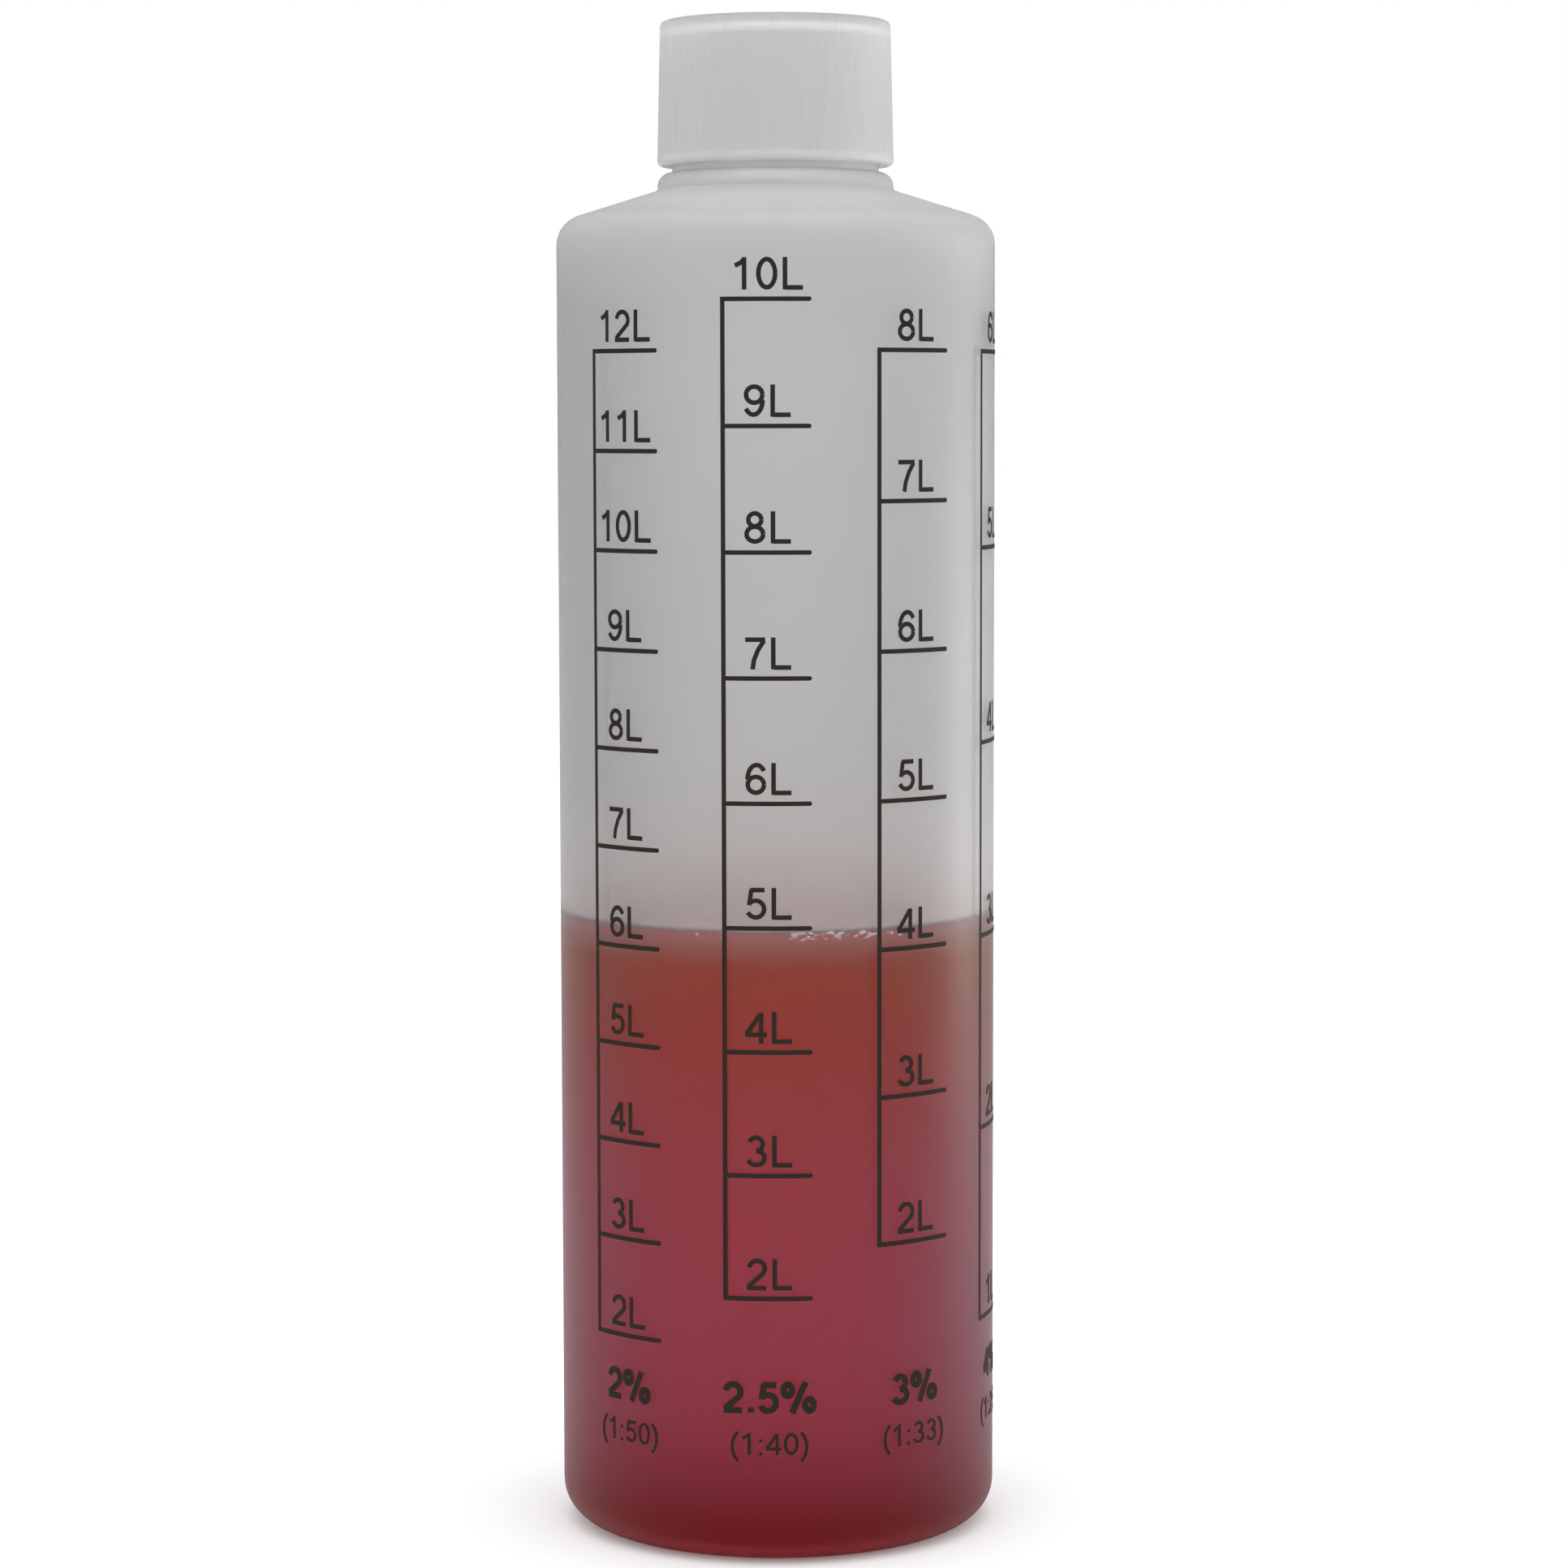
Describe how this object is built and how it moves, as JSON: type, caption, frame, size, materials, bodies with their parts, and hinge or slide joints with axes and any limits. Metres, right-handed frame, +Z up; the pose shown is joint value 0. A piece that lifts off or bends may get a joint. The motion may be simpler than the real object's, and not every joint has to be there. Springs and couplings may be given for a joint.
{
  "type": "oil dosing bottle",
  "caption": "Translucent round plastic bottle with printed oil mixing scales, a ribbed screw cap with a foam liner, and red two-stroke oil filling its lower half.",
  "frame": {"origin": "centre of the standing ring, on the plane that the bottle stands on", "axes": "+Z up along the bottle's axis, -Y towards the front, where the 2.5 percent scale is printed, +X to the right of the front view"},
  "size_m": [0.0501, 0.0501, 0.1723],
  "materials": {
    "bottle_hdpe": "natural translucent HDPE, blow moulded, satin",
    "cap_plastic": "natural translucent plastic, injection moulded, fine vertical ribs",
    "liner_foam": "closed-cell foam wad",
    "red_oil": "clear red two-stroke oil",
    "black_ink": "screen-printed ink"
  },
  "bodies": {
    "bottle": {"bottle_body": "bottle_hdpe", "oil_fill": "red_oil", "scale_2_percent": "black_ink", "scale_2_5_percent": "black_ink", "scale_3_percent": "black_ink", "scale_4_percent": "black_ink"},
    "liner": {"cap_liner": "liner_foam"},
    "cap": {"screw_cap": "cap_plastic"}
  },
  "joints": [
    {"name": "liner_rise", "type": "slide", "parent": "bottle", "child": "liner", "axis": [0, 0, 1], "range_m": [0, 0.0175]},
    {"name": "cap_turn", "type": "hinge", "parent": "liner", "child": "cap", "pos_m": [0, 0, 0.1642], "axis": [0, 0, 1], "range_deg": [0, 1980]}
  ],
  "couplings": [
    {"joint": "liner_rise", "follows": "cap_turn", "m_per_rad": 0.00050532}
  ]
}
